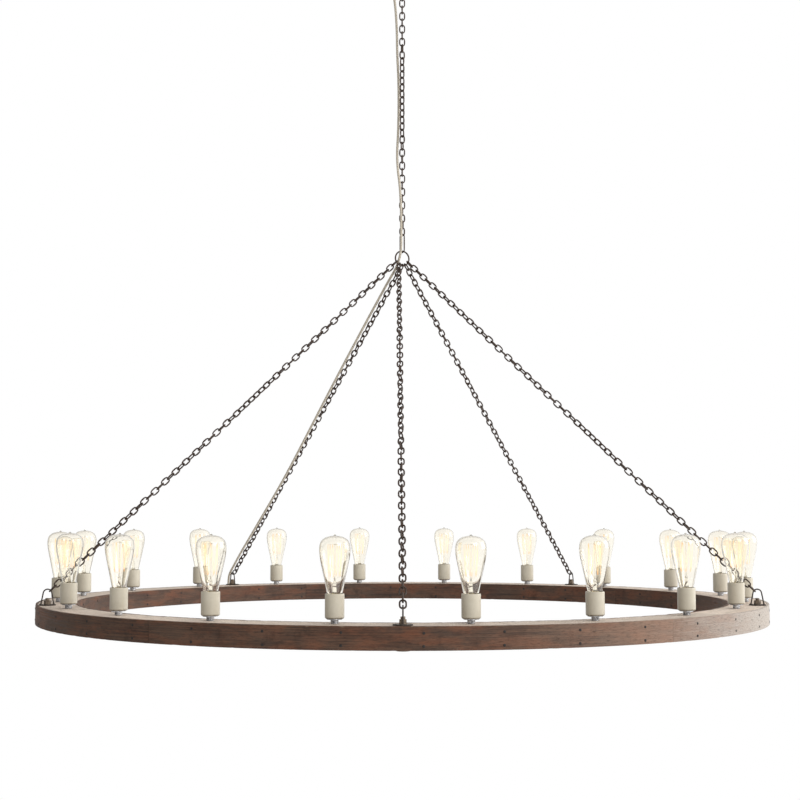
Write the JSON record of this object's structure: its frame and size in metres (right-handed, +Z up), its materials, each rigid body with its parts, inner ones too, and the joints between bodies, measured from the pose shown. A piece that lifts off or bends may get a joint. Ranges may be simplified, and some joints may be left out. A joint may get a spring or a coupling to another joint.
{
  "type": "wagon wheel chandelier",
  "caption": "Hollow round timber rim that hangs level from chains and a ring under a canopy, with upright teardrop bulbs in porcelain sockets standing all round it, and a cloth cord.",
  "frame": {"origin": "centre of the canopy's top face, on the ceiling plane", "axes": "+Z up along the main chain, -Y towards the picture's viewer, +X to the viewer's right"},
  "size_m": [1.8288, 1.8288, 1.7389],
  "materials": {
    "chain_iron": "dark brown, waxed, a little rubbed on the outsides",
    "black_iron": "black, matt, slightly worn",
    "nut_steel": "dull grey",
    "nail_iron": "dark, rusted",
    "screw_steel": "dark, slotted",
    "top_wood": "pale, weathered, rough sawn",
    "band_wood": "dark red-brown, greyed, rough",
    "under_wood": "grey-brown, rough sawn",
    "porcelain": "off-white, unglazed look, satin",
    "zinc": "bright zinc",
    "brass": "plain",
    "black_plastic": "satin",
    "connector_plastic": "satin",
    "wire_insulation": "satin",
    "cord_cloth": "cream woven cloth",
    "bulb_glass": "clear with an amber tint",
    "bulb_cap": "screw cap",
    "filament": "glowing"
  },
  "bodies": {
    "ceiling": {"ceiling_strap": "zinc", "earth_screw": "brass", "strap_locknut": "zinc", "canopy": "black_iron", "canopy_nipple": "zinc", "cord_bushing": "black_plastic", "collar_nut": "black_iron", "canopy_loop": "black_iron", "wire_connectors": "connector_plastic"},
    "top_link": {"chain_top_link": "chain_iron"},
    "main_chain": {"main_chain": "chain_iron", "cord_drop": "cord_cloth"},
    "carrier": {"carrier_link": "chain_iron"},
    "wheel": {"gathering_ring": "chain_iron", "stay_chain_front": "chain_iron", "stay_chain_right": "chain_iron", "stay_chain_back_right": "chain_iron", "stay_chain_back_left": "chain_iron", "stay_chain_left": "chain_iron", "anchor_plates": "black_iron", "anchor_bails": "black_iron", "anchor_bolts": "black_iron", "anchor_washers": "black_iron", "anchor_nuts": "nut_steel", "rim_top_boards": "top_wood", "rim_bottom_boards": "under_wood", "rim_outer_band": "band_wood", "rim_inner_band": "band_wood", "rim_nails": "nail_iron", "socket_bodies": "porcelain", "socket_base_plates": "zinc", "socket_screw_shells": "brass", "socket_contacts": "brass", "socket_couplings": "zinc", "socket_set_screws": "screw_steel", "socket_nipples": "zinc", "socket_locknuts": "zinc", "rim_wiring": "wire_insulation", "cord_grommet": "black_plastic", "cord_stay": "cord_cloth"},
    "bulb_01": {"bulb_01": "bulb_glass"},
    "bulb_02": {"bulb_02": "bulb_glass"},
    "bulb_03": {"bulb_03": "bulb_glass"},
    "bulb_04": {"bulb_04": "bulb_glass"},
    "bulb_05": {"bulb_05": "bulb_glass"},
    "bulb_06": {"bulb_06": "bulb_glass"},
    "bulb_07": {"bulb_07": "bulb_glass"},
    "bulb_08": {"bulb_08": "bulb_glass"},
    "bulb_09": {"bulb_09": "bulb_glass"},
    "bulb_10": {"bulb_10": "bulb_glass"},
    "bulb_11": {"bulb_11": "bulb_glass"},
    "bulb_12": {"bulb_12": "bulb_glass"},
    "bulb_13": {"bulb_13": "bulb_glass"},
    "bulb_14": {"bulb_14": "bulb_glass"},
    "bulb_15": {"bulb_15": "bulb_glass"},
    "bulb_16": {"bulb_16": "bulb_glass"},
    "bulb_17": {"bulb_17": "bulb_glass"},
    "bulb_18": {"bulb_18": "bulb_glass"},
    "bulb_19": {"bulb_19": "bulb_glass"},
    "bulb_20": {"bulb_20": "bulb_glass"}
  },
  "joints": [
    {"name": "top_link_swing", "type": "hinge", "parent": "ceiling", "child": "top_link", "pos_m": [0, 0, -0.0755], "axis": [0, 1, 0], "range_deg": [-30, 30], "deforming": ["cord_drop"]},
    {"name": "chain_swing", "type": "hinge", "parent": "top_link", "child": "main_chain", "pos_m": [0, 0, -0.0925], "axis": [1, 0, 0], "range_deg": [-30, 30], "deforming": ["cord_drop"]},
    {"name": "carrier_swing", "type": "hinge", "parent": "main_chain", "child": "carrier", "pos_m": [0, 0, -0.7437], "axis": [0.9063, 0.4226, 0], "range_deg": [-20, 20], "deforming": ["cord_stay"]},
    {"name": "wheel_swing", "type": "hinge", "parent": "carrier", "child": "wheel", "pos_m": [0, 0, -0.7888], "axis": [0.766, -0.6428, 0], "range_deg": [-20, 20], "deforming": ["cord_stay"]},
    {"name": "bulb_01_lift", "type": "slide", "parent": "wheel", "child": "bulb_01", "axis": [0, 0, 1], "range_m": [0, 0.03]},
    {"name": "bulb_02_lift", "type": "slide", "parent": "wheel", "child": "bulb_02", "axis": [0, 0, 1], "range_m": [0, 0.03]},
    {"name": "bulb_03_lift", "type": "slide", "parent": "wheel", "child": "bulb_03", "axis": [0, 0, 1], "range_m": [0, 0.03]},
    {"name": "bulb_04_lift", "type": "slide", "parent": "wheel", "child": "bulb_04", "axis": [0, 0, 1], "range_m": [0, 0.03]},
    {"name": "bulb_05_lift", "type": "slide", "parent": "wheel", "child": "bulb_05", "axis": [0, 0, 1], "range_m": [0, 0.03]},
    {"name": "bulb_06_lift", "type": "slide", "parent": "wheel", "child": "bulb_06", "axis": [0, 0, 1], "range_m": [0, 0.03]},
    {"name": "bulb_07_lift", "type": "slide", "parent": "wheel", "child": "bulb_07", "axis": [0, 0, 1], "range_m": [0, 0.03]},
    {"name": "bulb_08_lift", "type": "slide", "parent": "wheel", "child": "bulb_08", "axis": [0, 0, 1], "range_m": [0, 0.03]},
    {"name": "bulb_09_lift", "type": "slide", "parent": "wheel", "child": "bulb_09", "axis": [0, 0, 1], "range_m": [0, 0.03]},
    {"name": "bulb_10_lift", "type": "slide", "parent": "wheel", "child": "bulb_10", "axis": [0, 0, 1], "range_m": [0, 0.03]},
    {"name": "bulb_11_lift", "type": "slide", "parent": "wheel", "child": "bulb_11", "axis": [0, 0, 1], "range_m": [0, 0.03]},
    {"name": "bulb_12_lift", "type": "slide", "parent": "wheel", "child": "bulb_12", "axis": [0, 0, 1], "range_m": [0, 0.03]},
    {"name": "bulb_13_lift", "type": "slide", "parent": "wheel", "child": "bulb_13", "axis": [0, 0, 1], "range_m": [0, 0.03]},
    {"name": "bulb_14_lift", "type": "slide", "parent": "wheel", "child": "bulb_14", "axis": [0, 0, 1], "range_m": [0, 0.03]},
    {"name": "bulb_15_lift", "type": "slide", "parent": "wheel", "child": "bulb_15", "axis": [0, 0, 1], "range_m": [0, 0.03]},
    {"name": "bulb_16_lift", "type": "slide", "parent": "wheel", "child": "bulb_16", "axis": [0, 0, 1], "range_m": [0, 0.03]},
    {"name": "bulb_17_lift", "type": "slide", "parent": "wheel", "child": "bulb_17", "axis": [0, 0, 1], "range_m": [0, 0.03]},
    {"name": "bulb_18_lift", "type": "slide", "parent": "wheel", "child": "bulb_18", "axis": [0, 0, 1], "range_m": [0, 0.03]},
    {"name": "bulb_19_lift", "type": "slide", "parent": "wheel", "child": "bulb_19", "axis": [0, 0, 1], "range_m": [0, 0.03]},
    {"name": "bulb_20_lift", "type": "slide", "parent": "wheel", "child": "bulb_20", "axis": [0, 0, 1], "range_m": [0, 0.03]}
  ]
}
